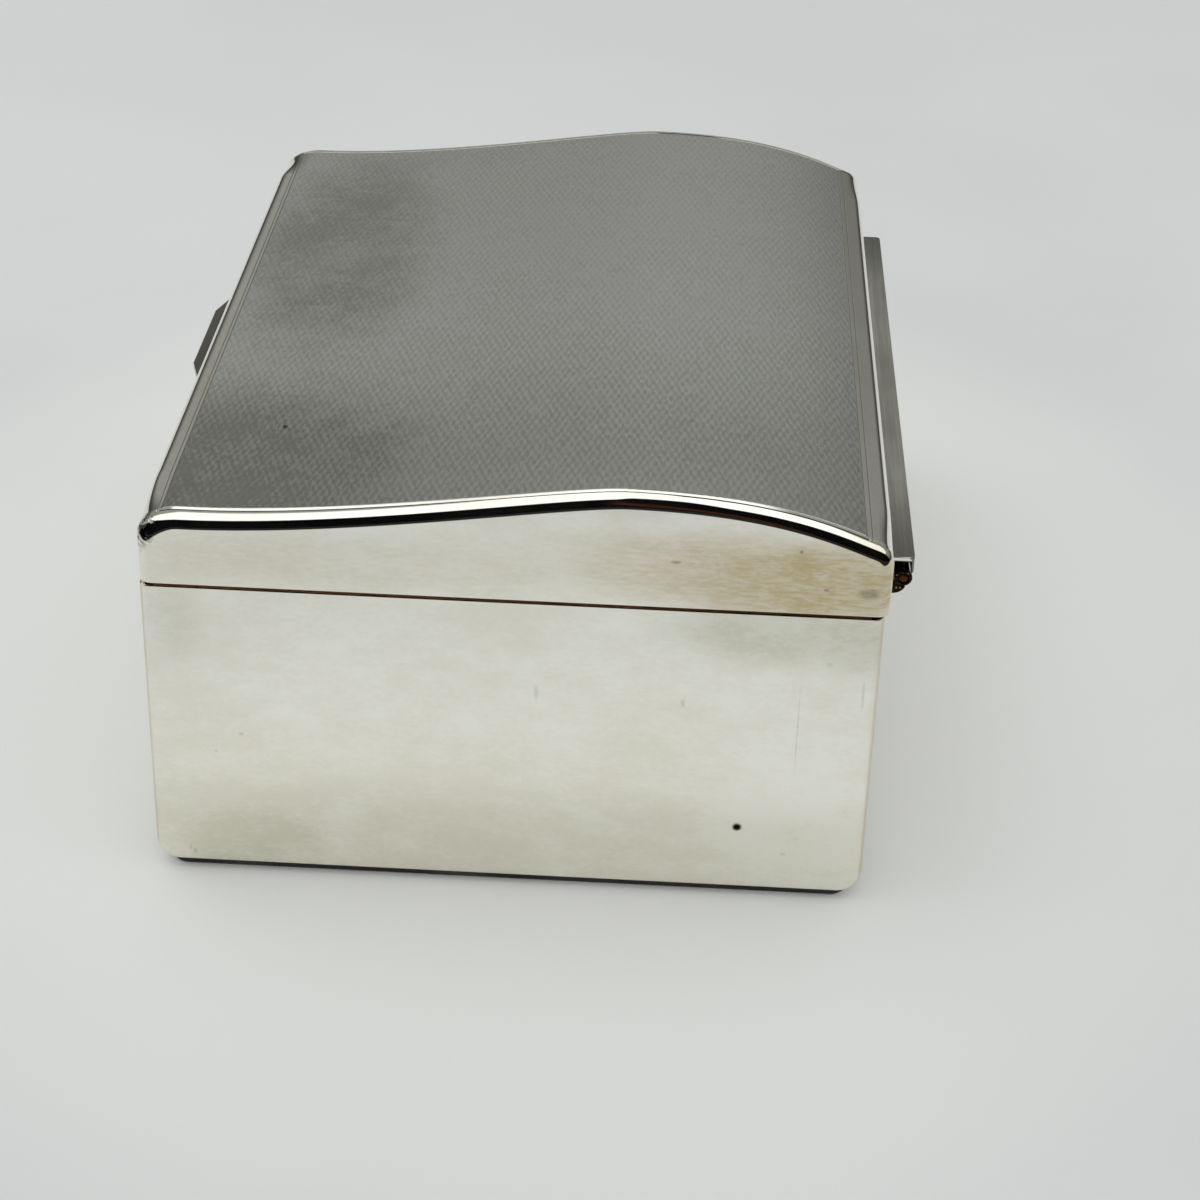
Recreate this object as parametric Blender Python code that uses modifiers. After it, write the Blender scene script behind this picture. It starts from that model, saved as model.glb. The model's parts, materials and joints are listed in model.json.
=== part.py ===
"""Silver table cigarette box with a serpentine hinged lid, a cedar lining and a stand-away hinge.

Metres, +Z up. The origin is on the table, under the middle of the body: +X runs along the
box, -Y is the front with the thumb piece, +Y is the back with the hinge.
"""

import math

import bmesh
import bpy
from mathutils import Matrix, Vector
from mathutils.geometry import interpolate_bezier

# Body: a sheet silver case, open at the top, with its lower edge turned in as a flange
BODY_LENGTH = 0.1143
BODY_DEPTH = 0.0824
SEAM_HEIGHT = 0.0381
SHEET_THICKNESS = 0.0008
BOTTOM_BEND_RADIUS = 0.0028
BODY_END_RADIUS = 0.001
FLANGE_WIDTH = 0.009
SEAM_GAP = 0.0003

# Lid: a serpentine sheet with two flat gables
LID_BACK_OVERHANG = 0.0005
LID_FRONT_RISE = 0.00835
LID_CREST_RISE = 0.0135
LID_SHOULDER_RISE = 0.00828
LID_CREST_SETBACK = 0.0127
LID_FRONT_RADIUS = 0.0016
LID_BACK_RADIUS = 0.0016
LID_END_RADIUS = 0.0014
LID_BACK_SLOPE = math.radians(21)
SERPENTINE_HANDLE_SHARES = (0.423, 0.133, 0.58, 0.184)

# Base: a rebated board inside the flange, with a glued cover that the box stands on
COVER_THICKNESS = 0.001
COVER_END_INSET = 0.0008
COVER_SIDE_INSET = 0.0016
COVER_CORNER_RADIUS = 0.002
GLUE_GAP = 0.0001
BOARD_CLEARANCE = 0.0003
PIN_HEAD_RADIUS = 0.0012
PIN_HEAD_THICKNESS = 0.0004
PIN_SHANK_RADIUS = 0.0006
PIN_BITE = 0.0012
PIN_HOLE_CLEARANCE = 0.0001
PIN_EDGE_DISTANCE = 0.006

# Lining: cedar boards on a cedar floor, mitred at the corners, standing above the seam as a lip
LINING_THICKNESS = 0.0024
LINING_FLOOR_THICKNESS = 0.002
LINING_CLEARANCE = 0.00025
LINING_LIP = 0.0025
LINING_JOINT_GAP = 0.0002
LINING_EDGE_RADIUS = 0.0004
DIVIDER_THICKNESS = 0.0024

# Hinge: a bearer on the body and a lipped plate on the lid, both holding tube knuckles
HINGE_LENGTH = 0.094
HINGE_STANDOFF = 0.0025
HINGE_DROP = 0.0005
SOLDER_GAP = 0.0001
KNUCKLE_COUNT = 5
KNUCKLE_RADIUS = 0.001
KNUCKLE_END_GAP = 0.0002
HINGE_PIN_RADIUS = 0.00055
HINGE_PIN_CLEARANCE = 0.00007
STRAP_SETBACK = 0.0003
PLATE_THICKNESS = 0.0006
PLATE_KNUCKLE_GAP = 0.0011
PLATE_OVERHANG = 0.0001
PLATE_LIP_THICKNESS = 0.0003
PLATE_LIP_CLEARANCE = 0.0001
PLATE_CORNER_RADIUS = 0.0006
BEARER_WALL = 0.0008
BEARER_REACH = 0.00045
BEARER_RADIUS = 0.0016
BEARER_FLAT = 0.0004
BEARER_TOP_DROP = 0.0001
GROOVE_CLEARANCE = 0.00015

# Thumb piece: a half-octagon tab on the front of the lid
THUMB_ROOT_LENGTH = 0.0325
THUMB_EDGE_LENGTH = 0.016
THUMB_PROJECTION = 0.00255
THUMB_THICKNESS = 0.001
THUMB_TOP_RISE = 0.0039
THUMB_EDGE_RADIUS = 0.00015

# Modelling values: how far cutters overrun, what counts as one point, and the facets of curves
CUT_OVERRUN = 0.001
WELD_DISTANCE = 0.000001
FLAT_ANGLE = math.radians(1)
SHARP_ANGLE = math.radians(40)
BEVEL_ANGLE = math.radians(50)
EDGE_STEPS = 5
ARC_STEPS = 8
SERPENTINE_STEPS = 16
ROUND_STEPS = 24

# Levels and faces that several pieces share
SILVER_BOTTOM = COVER_THICKNESS + GLUE_GAP
BODY_TOP = SEAM_HEIGHT - SEAM_GAP / 2
LID_BOTTOM = SEAM_HEIGHT + SEAM_GAP / 2
BODY_BACK = BODY_DEPTH / 2
LID_FRONT = -BODY_DEPTH / 2
LID_BACK = BODY_BACK + LID_BACK_OVERHANG
FLANGE_TOP = SILVER_BOTTOM + SHEET_THICKNESS
BOARD_TOP = SILVER_BOTTOM + BOTTOM_BEND_RADIUS + BOARD_CLEARANCE
FLOOR_BOTTOM = BOARD_TOP + LINING_JOINT_GAP
FLOOR_TOP = FLOOR_BOTTOM + LINING_FLOOR_THICKNESS
LINING_BOTTOM = FLOOR_TOP + LINING_JOINT_GAP
LINING_TOP = SEAM_HEIGHT + LINING_LIP
LINING_X = BODY_LENGTH / 2 - SHEET_THICKNESS - LINING_CLEARANCE
LINING_Y = BODY_DEPTH / 2 - SHEET_THICKNESS - LINING_CLEARANCE
AXIS_Y = BODY_BACK + HINGE_STANDOFF
AXIS_Z = SEAM_HEIGHT - HINGE_DROP
PLATE_BOTTOM = AXIS_Z + KNUCKLE_RADIUS + PLATE_KNUCKLE_GAP
PLATE_EDGE = AXIS_Y + KNUCKLE_RADIUS + PLATE_OVERHANG

# Turns a flat outline drawn in X and Y into a section across the box, extruded along X
ACROSS_BOX = (math.pi / 2, 0, math.pi / 2)
FLAT = (0, 0, 0)


def clear_scene():
    for old in list(bpy.data.objects):
        bpy.data.objects.remove(old, do_unlink=True)


def new_collection(name):
    collection = bpy.data.collections.new(name)
    bpy.context.scene.collection.children.link(collection)
    return collection


def new_material(name, colour, roughness, metallic):
    made = bpy.data.materials.new(name)
    made.use_nodes = True
    shader = made.node_tree.nodes["Principled BSDF"]
    shader.inputs["Base Color"].default_value = (*colour, 1)
    shader.inputs["Roughness"].default_value = roughness
    shader.inputs["Metallic"].default_value = metallic
    made.diffuse_color = (*colour, 1)
    return made


def place(obj, collection, material=None, parent=None):
    """Puts the object in its collection alone, gives it its material, and parents it in place."""
    for other in list(obj.users_collection):
        other.objects.unlink(obj)
    collection.objects.link(obj)
    if material:
        obj.data.materials.clear()
        obj.data.materials.append(material)
    if parent:
        obj.parent = parent
        obj.matrix_parent_inverse = parent.matrix_world.inverted()
    return obj


def add_empty(name, location, collection):
    empty = bpy.data.objects.new(name, None)
    empty.location = location
    collection.objects.link(empty)
    bpy.context.view_layer.update()
    return empty


def block(name, low, high):
    """A cuboid between two corners, as a mesh with no scale on its object."""
    shape = bmesh.new()
    size = Vector(high) - Vector(low)
    bmesh.ops.create_cube(shape, size=1, matrix=Matrix.Diagonal((*size, 1)))
    mesh = bpy.data.meshes.new(name)
    shape.to_mesh(mesh)
    shape.free()
    obj = bpy.data.objects.new(name, mesh)
    obj.location = (Vector(low) + Vector(high)) / 2
    return obj


def outline_solid(name, outlines, thickness, centre, turn):
    """The first outline filled, less the others, and extruded to the thickness about its centre."""
    curve = bpy.data.curves.new(name, "CURVE")
    curve.dimensions = "2D"
    curve.fill_mode = "BOTH"
    curve.extrude = thickness / 2
    for outline in outlines:
        spline = curve.splines.new("POLY")
        spline.points.add(len(outline) - 1)
        for point, (x, y) in zip(spline.points, outline):
            point.co = (x, y, 0, 1)
        spline.use_cyclic_u = True
    flat = bpy.data.objects.new(name, curve)
    flat.location = centre
    flat.rotation_euler = turn
    bpy.context.scene.collection.objects.link(flat)
    graph = bpy.context.evaluated_depsgraph_get()
    mesh = bpy.data.meshes.new_from_object(flat.evaluated_get(graph))
    where = flat.matrix_world.copy()
    bpy.data.objects.remove(flat, do_unlink=True)
    weld(mesh)
    mesh.name = name
    obj = bpy.data.objects.new(name, mesh)
    obj.matrix_world = where
    return obj


def weld(mesh):
    shape = bmesh.new()
    shape.from_mesh(mesh)
    bmesh.ops.remove_doubles(shape, verts=shape.verts, dist=WELD_DISTANCE)
    bmesh.ops.recalc_face_normals(shape, faces=shape.faces)
    shape.to_mesh(mesh)
    shape.free()


def join_caps(obj):
    """Makes each flat end of an extruded outline one face, so that a bevel runs evenly round it."""
    shape = bmesh.new()
    shape.from_mesh(obj.data)
    for side in (1, -1):
        cap = [face for face in shape.faces if face.normal.z * side > math.cos(FLAT_ANGLE)]
        bmesh.ops.dissolve_faces(shape, faces=cap)
    shape.to_mesh(obj.data)
    shape.free()


def open_side(obj, direction):
    """Removes the side facing a direction."""
    shape = bmesh.new()
    shape.from_mesh(obj.data)
    facing = [face for face in shape.faces if face.normal.dot(direction) > math.cos(BEVEL_ANGLE)]
    bmesh.ops.delete(shape, geom=facing, context="FACES")
    shape.to_mesh(obj.data)
    shape.free()


def bevel(obj, width, steps, name="Rounded edges"):
    modifier = obj.modifiers.new(name, "BEVEL")
    modifier.width = width
    modifier.segments = steps
    modifier.limit_method = "ANGLE"
    modifier.angle_limit = BEVEL_ANGLE
    modifier.use_clamp_overlap = False


def thicken(obj, thickness):
    modifier = obj.modifiers.new("Sheet", "SOLIDIFY")
    modifier.thickness = thickness
    modifier.offset = -1
    modifier.use_even_offset = True


def cut(obj, cutter):
    modifier = obj.modifiers.new("Cut " + cutter.name, "BOOLEAN")
    modifier.operation = "DIFFERENCE"
    modifier.solver = "EXACT"
    modifier.object = cutter


def join(obj, other):
    modifier = obj.modifiers.new("Join " + other.name, "BOOLEAN")
    modifier.operation = "UNION"
    modifier.solver = "EXACT"
    modifier.object = other


def hide_cutter(obj, collection):
    place(obj, collection)
    obj.hide_render = True
    obj.display_type = "WIRE"
    return obj


def smooth(obj):
    obj.data.shade_smooth()
    obj.data.set_sharp_from_angle(angle=SHARP_ANGLE)


def arc(centre, radius, start, end, steps):
    """Points on an arc, both ends included."""
    angles = [start + (end - start) * step / steps for step in range(steps + 1)]
    return [(centre[0] + radius * math.cos(a), centre[1] + radius * math.sin(a)) for a in angles]


def circle(centre, radius):
    return arc(centre, radius, 0, 2 * math.pi, ROUND_STEPS)[:-1]


def rounded_rectangle(half_x, half_y, radius):
    """A rectangle about the origin, from its right-hand back corner anticlockwise."""
    outline = []
    for quarter, (x, y) in enumerate(((1, 1), (-1, 1), (-1, -1), (1, -1))):
        centre = (x * (half_x - radius), y * (half_y - radius))
        start = quarter * math.pi / 2
        outline += arc(centre, radius, start, start + math.pi / 2, ARC_STEPS)
    return outline


def turned(name, profile, location):
    """A solid of revolution about Z from (radius, height) points, outer side from top to bottom."""
    mesh = bpy.data.meshes.new(name)
    points = [(radius, 0, height) for radius, height in profile]
    mesh.from_pydata(points, [(n, n + 1) for n in range(len(points) - 1)], [])
    obj = bpy.data.objects.new(name, mesh)
    obj.location = location
    screw = obj.modifiers.new("Turned", "SCREW")
    screw.steps = ROUND_STEPS
    screw.render_steps = ROUND_STEPS
    screw.use_merge_vertices = True
    screw.merge_threshold = WELD_DISTANCE
    return obj


def lid_section():
    """The lid's outer section: upright front, rolled edge, serpentine top, rolled edge, upright back."""
    front_top = SEAM_HEIGHT + LID_FRONT_RISE
    front_centre = (LID_FRONT + LID_FRONT_RADIUS, front_top - LID_FRONT_RADIUS)
    crest = Vector((LID_CREST_SETBACK, SEAM_HEIGHT + LID_CREST_RISE))
    sine, cosine = math.sin(LID_BACK_SLOPE), math.cos(LID_BACK_SLOPE)
    back_centre = (
        LID_BACK - LID_BACK_RADIUS,
        SEAM_HEIGHT + LID_SHOULDER_RISE - LID_BACK_RADIUS * cosine,
    )
    start = Vector((front_centre[0], front_top))
    shoulder = Vector((back_centre[0] + LID_BACK_RADIUS * sine, SEAM_HEIGHT + LID_SHOULDER_RISE))
    front_share, crest_front_share, crest_back_share, shoulder_share = SERPENTINE_HANDLE_SHARES
    front_run = Vector((crest.x - start.x, 0))
    back_run = Vector((shoulder.x - crest.x, 0))
    down_slope = Vector((cosine, -sine)) * back_run.x
    rise = interpolate_bezier(
        start,
        start + front_run * front_share,
        crest - front_run * crest_front_share,
        crest,
        SERPENTINE_STEPS,
    )
    fall = interpolate_bezier(
        crest,
        crest + back_run * crest_back_share,
        shoulder - down_slope * shoulder_share,
        shoulder,
        SERPENTINE_STEPS,
    )
    front_roll = arc(front_centre, LID_FRONT_RADIUS, math.pi, math.pi / 2, ARC_STEPS)
    back_roll = arc(back_centre, LID_BACK_RADIUS, math.pi / 2 - LID_BACK_SLOPE, 0, ARC_STEPS)
    top = [tuple(point) for point in rise[1:] + fall[1:-1]]
    return [(LID_FRONT, LID_BOTTOM), *front_roll, *top, *back_roll, (LID_BACK, LID_BOTTOM)]


def add_lid_shell(collection, silver, pivot):
    """Serpentine sheet with soldered gables, rounded along their edges and open at the bottom."""
    shell = outline_solid("lid_shell", [lid_section()], BODY_LENGTH, (0, 0, 0), ACROSS_BOX)
    join_caps(shell)
    open_side(shell, Vector((0, -1, 0)))
    place(shell, collection, silver, pivot)
    bevel(shell, LID_END_RADIUS, EDGE_STEPS)
    thicken(shell, SHEET_THICKNESS)
    smooth(shell)


def body_section():
    """The body's outer section: upright sides joined by a bend along each lower edge."""
    side = BODY_DEPTH / 2
    reach = side - BOTTOM_BEND_RADIUS
    level = SILVER_BOTTOM + BOTTOM_BEND_RADIUS
    front = arc((-reach, level), BOTTOM_BEND_RADIUS, math.pi, 1.5 * math.pi, ARC_STEPS)
    back = arc((reach, level), BOTTOM_BEND_RADIUS, 1.5 * math.pi, 2 * math.pi, ARC_STEPS)
    return [(-side, BODY_TOP), *front, *back, (side, BODY_TOP)]


def add_body_shell(collection, cutters, silver):
    """Bent sheet with soldered ends, open at the top, and its bottom cut away to a flange."""
    shell = outline_solid("body_shell", [body_section()], BODY_LENGTH, (0, 0, 0), ACROSS_BOX)
    join_caps(shell)
    open_side(shell, Vector((0, 1, 0)))
    place(shell, collection, silver)
    bevel(shell, BODY_END_RADIUS, EDGE_STEPS)
    thicken(shell, SHEET_THICKNESS)
    half_x = BODY_LENGTH / 2 - FLANGE_WIDTH
    half_y = BODY_DEPTH / 2 - FLANGE_WIDTH
    low = (-half_x, -half_y, SILVER_BOTTOM - CUT_OVERRUN)
    high = (half_x, half_y, FLANGE_TOP + CUT_OVERRUN)
    opening = hide_cutter(block("flange_opening", low, high), cutters)
    cut(shell, opening)
    smooth(shell)


def base_pin_places():
    """Each pin's name and its place, one near each corner of the board's field."""
    x = BODY_LENGTH / 2 - FLANGE_WIDTH - PIN_EDGE_DISTANCE
    y = BODY_DEPTH / 2 - FLANGE_WIDTH - PIN_EDGE_DISTANCE
    corners = (("front_left", -x, -y), ("front_right", x, -y), ("back_left", -x, y), ("back_right", x, y))
    return [("base_pin_" + corner, (px, py, SILVER_BOTTOM)) for corner, px, py in corners]


def base_pin_profile(clearance):
    """A headed pin standing on its head, from its point down, grown all round by the clearance."""
    tip = FLOOR_BOTTOM + PIN_BITE - SILVER_BOTTOM + clearance
    head_top = GLUE_GAP + PIN_HEAD_THICKNESS + clearance
    foot = GLUE_GAP - (CUT_OVERRUN if clearance else 0)
    shank = PIN_SHANK_RADIUS + clearance
    head = PIN_HEAD_RADIUS + clearance
    return [(0, tip), (shank, tip), (shank, head_top), (head, head_top), (head, foot), (0, foot)]


def add_base(collection, cutters, board_wood, cover_cloth, brass):
    """Rebated board seated in the flange, four pins through it, and the cover glued underneath."""
    clear = BOARD_CLEARANCE
    half_x = BODY_LENGTH / 2 - SHEET_THICKNESS - BODY_END_RADIUS - clear
    half_y = BODY_DEPTH / 2 - BOTTOM_BEND_RADIUS - clear
    low = (-half_x, -half_y, FLANGE_TOP + GLUE_GAP)
    board = place(block("base_board", low, (half_x, half_y, BOARD_TOP)), collection, board_wood)
    field_x = BODY_LENGTH / 2 - FLANGE_WIDTH - clear
    field_y = BODY_DEPTH / 2 - FLANGE_WIDTH - clear
    field_top = (FLANGE_TOP + BOARD_TOP) / 2
    field = block("board_field", (-field_x, -field_y, SILVER_BOTTOM), (field_x, field_y, field_top))
    join(board, hide_cutter(field, cutters))
    for name, location in base_pin_places():
        place(turned(name, base_pin_profile(0), location), collection, brass)
        hole = turned("hole_for_" + name, base_pin_profile(PIN_HOLE_CLEARANCE), location)
        cut(board, hide_cutter(hole, cutters))
    outline = rounded_rectangle(
        BODY_LENGTH / 2 - COVER_END_INSET, BODY_DEPTH / 2 - COVER_SIDE_INSET, COVER_CORNER_RADIUS
    )
    cover = outline_solid("base_cover", [outline], COVER_THICKNESS, (0, 0, COVER_THICKNESS / 2), FLAT)
    place(cover, collection, cover_cloth)


def add_lining(collection, cutters, cedar):
    """Cedar floor, four mitred sides that rise above the seam, and a divider across the middle."""
    outline = rounded_rectangle(LINING_X, LINING_Y, BODY_END_RADIUS - SHEET_THICKNESS)
    centre = (0, 0, (FLOOR_BOTTOM + FLOOR_TOP) / 2)
    floor = outline_solid("lining_floor", [outline], LINING_FLOOR_THICKNESS, centre, FLAT)
    place(floor, collection, cedar)
    for name, _ in base_pin_places():
        cut(floor, bpy.data.objects["hole_for_" + name])
    height = LINING_TOP - LINING_BOTTOM
    middle = (LINING_TOP + LINING_BOTTOM) / 2
    sides = (
        ("lining_front", LINING_X, LINING_Y, 0),
        ("lining_right", LINING_Y, LINING_X, math.pi / 2),
        ("lining_back", LINING_X, LINING_Y, math.pi),
        ("lining_left", LINING_Y, LINING_X, 1.5 * math.pi),
    )
    for name, half, distance, turn in sides:
        outer = half - LINING_JOINT_GAP
        inner = outer - LINING_THICKNESS
        near = distance - LINING_THICKNESS
        outline = [(-outer, -distance), (outer, -distance), (inner, -near), (-inner, -near)]
        board = outline_solid(name, [outline], height, (0, 0, middle), (0, 0, turn))
        join_caps(board)
        bevel(place(board, collection, cedar), LINING_EDGE_RADIUS, 2)
    reach = LINING_Y - LINING_THICKNESS - LINING_JOINT_GAP
    half = DIVIDER_THICKNESS / 2
    divider = block("lining_divider", (-half, -reach, LINING_BOTTOM), (half, reach, SEAM_HEIGHT))
    bevel(place(divider, collection, cedar), LINING_EDGE_RADIUS, 2)


def bearer_section():
    """Section of the body's bearer: a bar with a rounded lower edge and a groove for the knuckles."""
    inner = BODY_BACK + SOLDER_GAP
    outer = AXIS_Y + BEARER_REACH
    groove = KNUCKLE_RADIUS + GROOVE_CLEARANCE
    bottom = AXIS_Z - groove - BEARER_WALL
    top = BODY_TOP - BEARER_TOP_DROP
    groove_start = math.pi - math.asin((top - AXIS_Z) / groove)
    groove_end = 2 * math.pi - math.acos(BEARER_REACH / groove)
    round_centre = (outer - BEARER_RADIUS + BEARER_FLAT, bottom + BEARER_RADIUS)
    round_start = -math.acos((BEARER_RADIUS - BEARER_FLAT) / BEARER_RADIUS)
    groove_arc = arc((AXIS_Y, AXIS_Z), groove, groove_start, groove_end, ARC_STEPS)
    round_arc = arc(round_centre, BEARER_RADIUS, round_start, -math.pi / 2, ARC_STEPS)
    return [(inner, top), *groove_arc, *round_arc, (inner, bottom)]


def plate_section():
    """Section of the lid's hinge plate: flat on top, with a lip turned down along its outer edge."""
    inner = LID_BACK + SOLDER_GAP
    lip = PLATE_EDGE - PLATE_LIP_THICKNESS
    under = PLATE_BOTTOM
    top = under + PLATE_THICKNESS
    foot = AXIS_Z + math.sqrt((KNUCKLE_RADIUS + PLATE_LIP_CLEARANCE) ** 2 - (lip - AXIS_Y) ** 2)
    return [(inner, top), (inner, under), (lip, under), (lip, foot), (PLATE_EDGE, foot), (PLATE_EDGE, top)]


def strapped_knuckle_section():
    """Section of a lid knuckle: a tube carried by a strap that reaches up to the plate."""
    half = KNUCKLE_RADIUS - STRAP_SETBACK
    top = PLATE_BOTTOM - SOLDER_GAP - AXIS_Z
    angle = math.acos(half / KNUCKLE_RADIUS)
    tube = arc((0, 0), KNUCKLE_RADIUS, math.pi - angle, 2 * math.pi + angle, ROUND_STEPS)
    return [(-half, top), *tube, (half, top)]


def add_hinge(collection, silver, brass, pivot):
    """Bearer, plate, five knuckles and their pin, the second and fourth knuckles on the lid."""
    bearer = outline_solid("body_hinge_bearer", [bearer_section()], HINGE_LENGTH, (0, 0, 0), ACROSS_BOX)
    place(bearer, collection, silver)
    smooth(bearer)
    plate = outline_solid("lid_hinge_plate", [plate_section()], HINGE_LENGTH, (0, 0, 0), ACROSS_BOX)
    round_plate_corners(plate)
    place(plate, collection, silver, pivot)
    bore = circle((0, 0), HINGE_PIN_RADIUS + HINGE_PIN_CLEARANCE)
    pitch = (HINGE_LENGTH + KNUCKLE_END_GAP) / KNUCKLE_COUNT
    for number in range(KNUCKLE_COUNT):
        x = (number - (KNUCKLE_COUNT - 1) / 2) * pitch
        centre = (x, AXIS_Y, AXIS_Z)
        order = number // 2 + 1
        if number % 2:
            name, outline, parent = "lid_knuckle_%d" % order, strapped_knuckle_section(), pivot
        else:
            name, outline, parent = "body_knuckle_%d" % order, circle((0, 0), KNUCKLE_RADIUS), None
        knuckle = outline_solid(name, [outline, bore], pitch - KNUCKLE_END_GAP, centre, ACROSS_BOX)
        place(knuckle, collection, silver, parent)
        smooth(knuckle)
    pin = outline_solid(
        "hinge_pin", [circle((0, 0), HINGE_PIN_RADIUS)], HINGE_LENGTH, (0, AXIS_Y, AXIS_Z), ACROSS_BOX
    )
    place(pin, collection, brass)
    smooth(pin)


def round_plate_corners(plate):
    """Rounds the two outer corners of the plate, seen from above."""
    join_caps(plate)
    shape = bmesh.new()
    shape.from_mesh(plate.data)
    outer = PLATE_EDGE - WELD_DISTANCE
    corners = [
        edge
        for edge in shape.edges
        if all(vert.co.x > outer for vert in edge.verts)
        and abs(edge.verts[0].co.z - edge.verts[1].co.z) < WELD_DISTANCE
    ]
    bmesh.ops.bevel(
        shape, geom=corners, offset=PLATE_CORNER_RADIUS, segments=EDGE_STEPS, profile=0.5, affect="EDGES"
    )
    shape.to_mesh(plate.data)
    shape.free()


def add_thumb_piece(collection, silver, pivot):
    """Half-octagon tab soldered to the front of the lid, with its edges just eased."""
    back = LID_FRONT - SOLDER_GAP
    front = LID_FRONT - THUMB_PROJECTION
    root, edge = THUMB_ROOT_LENGTH / 2, THUMB_EDGE_LENGTH / 2
    outline = [(-root, back), (-edge, front), (edge, front), (root, back)]
    middle = SEAM_HEIGHT + THUMB_TOP_RISE - THUMB_THICKNESS / 2
    tab = outline_solid("thumb_piece", [outline], THUMB_THICKNESS, (0, 0, middle), FLAT)
    join_caps(tab)
    place(tab, collection, silver, pivot)
    bevel(tab, THUMB_EDGE_RADIUS, 2)


def main():
    clear_scene()
    box = new_collection("cigarette_box")
    cutters = new_collection("cutters")
    silver = new_material("silver", (0.88, 0.87, 0.84), 0.12, 1)
    lid_silver = new_material("lid_silver", (0.8, 0.8, 0.78), 0.25, 1)
    cedar = new_material("cedar", (0.47, 0.24, 0.13), 0.6, 0)
    board_wood = new_material("base_wood", (0.2, 0.11, 0.06), 0.6, 0)
    cover_cloth = new_material("base_cover", (0.02, 0.02, 0.022), 0.9, 0)
    brass = new_material("brass", (0.62, 0.42, 0.2), 0.35, 1)
    pivot = add_empty("lid_pivot", (0, AXIS_Y, AXIS_Z), box)
    add_body_shell(box, cutters, silver)
    add_base(box, cutters, board_wood, cover_cloth, brass)
    add_lining(box, cutters, cedar)
    add_lid_shell(box, lid_silver, pivot)
    add_hinge(box, silver, brass, pivot)
    add_thumb_piece(box, silver, pivot)


main()
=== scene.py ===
import json
import math

import bmesh
import bpy
from mathutils import Matrix, Vector


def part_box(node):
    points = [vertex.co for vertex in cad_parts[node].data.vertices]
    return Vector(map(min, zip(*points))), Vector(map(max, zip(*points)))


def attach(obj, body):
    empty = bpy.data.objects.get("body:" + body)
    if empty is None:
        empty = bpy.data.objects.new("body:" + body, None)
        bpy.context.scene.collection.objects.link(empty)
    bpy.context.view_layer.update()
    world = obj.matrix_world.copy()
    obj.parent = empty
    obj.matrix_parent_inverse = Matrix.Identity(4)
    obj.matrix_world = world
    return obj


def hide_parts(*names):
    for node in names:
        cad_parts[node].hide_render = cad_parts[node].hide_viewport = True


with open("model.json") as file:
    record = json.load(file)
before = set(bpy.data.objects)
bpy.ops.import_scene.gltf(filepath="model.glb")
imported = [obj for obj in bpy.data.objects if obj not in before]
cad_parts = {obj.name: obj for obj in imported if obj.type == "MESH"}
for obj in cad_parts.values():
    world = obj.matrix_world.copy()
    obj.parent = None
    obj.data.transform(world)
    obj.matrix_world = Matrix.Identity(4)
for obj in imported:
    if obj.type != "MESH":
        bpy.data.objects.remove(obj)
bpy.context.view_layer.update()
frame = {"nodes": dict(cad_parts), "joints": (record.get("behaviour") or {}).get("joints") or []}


# Camera
# It stands off the box's right-hand end, a little towards the hinge, and looks down at it
# over a longish lens. It is turned by hand, so the verticals lean slightly.
camera_place = (0.3087, 0.0181, 0.1853)
camera_down = math.radians(30.198)
camera_turn = math.radians(91.876)
camera_roll = math.radians(1.766)
camera_lens = 79.68
film_width = 36

bpy.ops.object.camera_add(location=camera_place)
camera = bpy.context.object
turned = Matrix.Rotation(camera_turn, 4, "Z")
tilted = Matrix.Rotation(math.pi / 2 - camera_down, 4, "X")
rolled = Matrix.Rotation(camera_roll, 4, "Z")
camera.rotation_euler = (turned @ tilted @ rolled).to_euler()
camera.data.lens = camera_lens
camera.data.sensor_width = film_width
bpy.context.scene.camera = camera
bpy.context.scene.view_settings.view_transform = "Standard"


# Table top
# A wide sheet of matt white laminate. Painted light makes it a little brighter round the
# box, for the light that the silver throws on it, and painted shade makes it greyer far
# behind the box. For polished silver it ends in shade, on the camera's side.
table_size = 8
table_depth = 0.00005
table_white = (0.61, 0.628, 0.618, 1)
table_faint_grey = (0.575, 0.592, 0.583, 1)
table_lit = (0.715, 0.73, 0.715, 1)
table_far_shade = (0.545, 0.562, 0.557, 1)
lit_reach = (0.135, 0.115)
lit_ring = (0.1, 1)
far_start, far_end = 0.06, 0.5
table_edge_near = 0.145
table_edge_far = 0.175
table_shade = (0.02, 0.018, 0.016, 1)
mottle_size = 9
mottle = (0.35, 0.7)
laminate_roughness = 0.7
laminate_shine = 0.2


def add_node(tree, kind, inputs=(), **settings):
    """Adds a shader node with its settings, and gives its inputs values or links."""
    made = tree.nodes.new(kind)
    for name, value in settings.items():
        setattr(made, name, value)
    for name, value in dict(inputs).items():
        if isinstance(value, bpy.types.NodeSocket):
            tree.links.new(value, made.inputs[name])
        else:
            made.inputs[name].default_value = value
    return made


def calculate(tree, operation, *values):
    """A Math node's result."""
    made = add_node(tree, "ShaderNodeMath", enumerate(values), operation=operation)
    return made.outputs["Value"]


def fade(tree, value, start, end, low=0, high=1):
    """Eases from a low to a high number as a value goes from start to end."""
    inputs = {"Value": value, "From Min": start, "From Max": end, "To Min": low, "To Max": high}
    made = add_node(tree, "ShaderNodeMapRange", inputs, interpolation_type="SMOOTHSTEP")
    return made.outputs["Result"]


def blend_colours(tree, factor, first, second):
    """The first colour where the factor is 0, and the second where it is 1."""
    colours = {0: factor, 6: first, 7: second}
    return add_node(tree, "ShaderNodeMix", colours, data_type="RGBA").outputs[2]


def noise(tree, place, scale, detail=2, roughness=0.5):
    """Cloudy noise between 0 and 1 at a place."""
    inputs = {"Vector": place, "Scale": scale, "Detail": detail, "Roughness": roughness}
    return add_node(tree, "ShaderNodeTexNoise", inputs).outputs["Fac"]


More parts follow.
